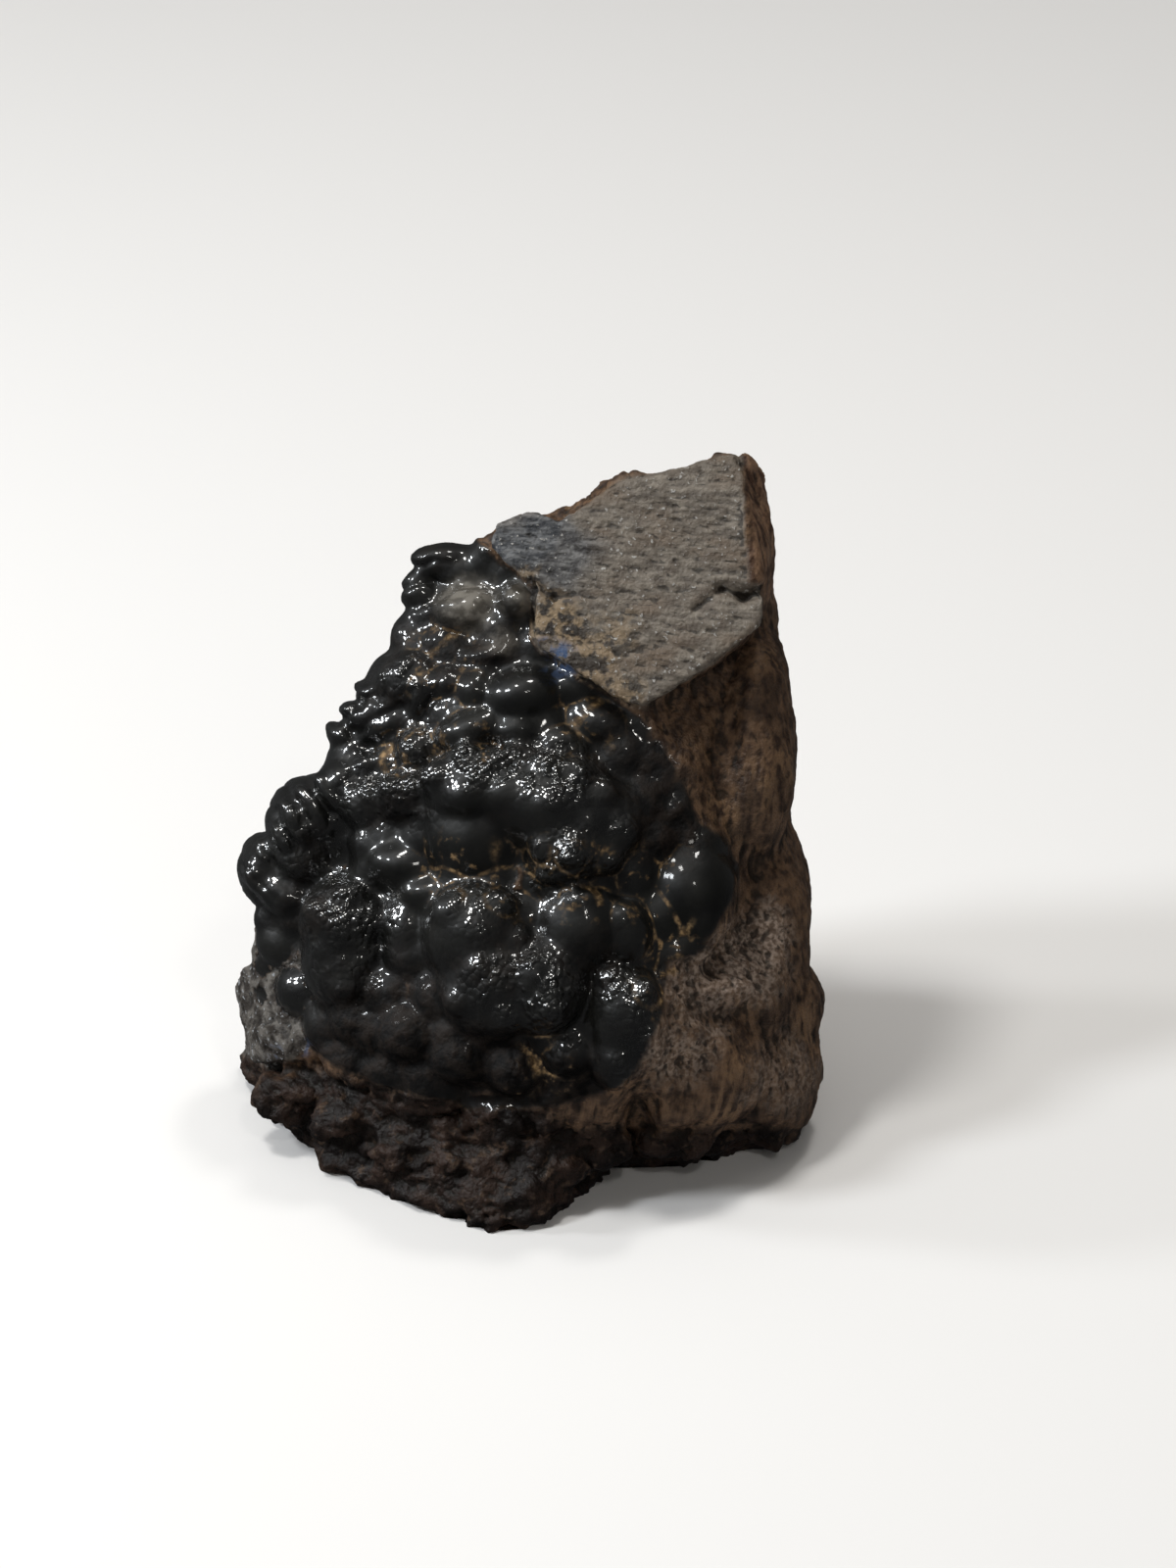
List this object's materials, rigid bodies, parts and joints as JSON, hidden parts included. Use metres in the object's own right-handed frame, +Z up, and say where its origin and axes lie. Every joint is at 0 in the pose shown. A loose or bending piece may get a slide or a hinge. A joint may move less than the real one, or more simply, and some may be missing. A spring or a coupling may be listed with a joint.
{
  "type": "botryoidal hematite specimen",
  "caption": "Hand specimen of botryoidal hematite: iron ore with a crust of glossy black grape-like lobes, a grey broken plate at the top and a pitted brown foot it stands on.",
  "frame": {"origin": "centre of the bounding box at the flat underside", "axes": "+Z up, -Y towards the side that shows the black lobes, +X to the right of that side"},
  "size_m": [0.0612, 0.0492, 0.0699],
  "materials": {
    "ore": "glossy black crust, rough grey broken plate, dull brown weathered side and foot"
  },
  "bodies": {
    "root": {"hematite": "ore"}
  },
  "joints": []
}
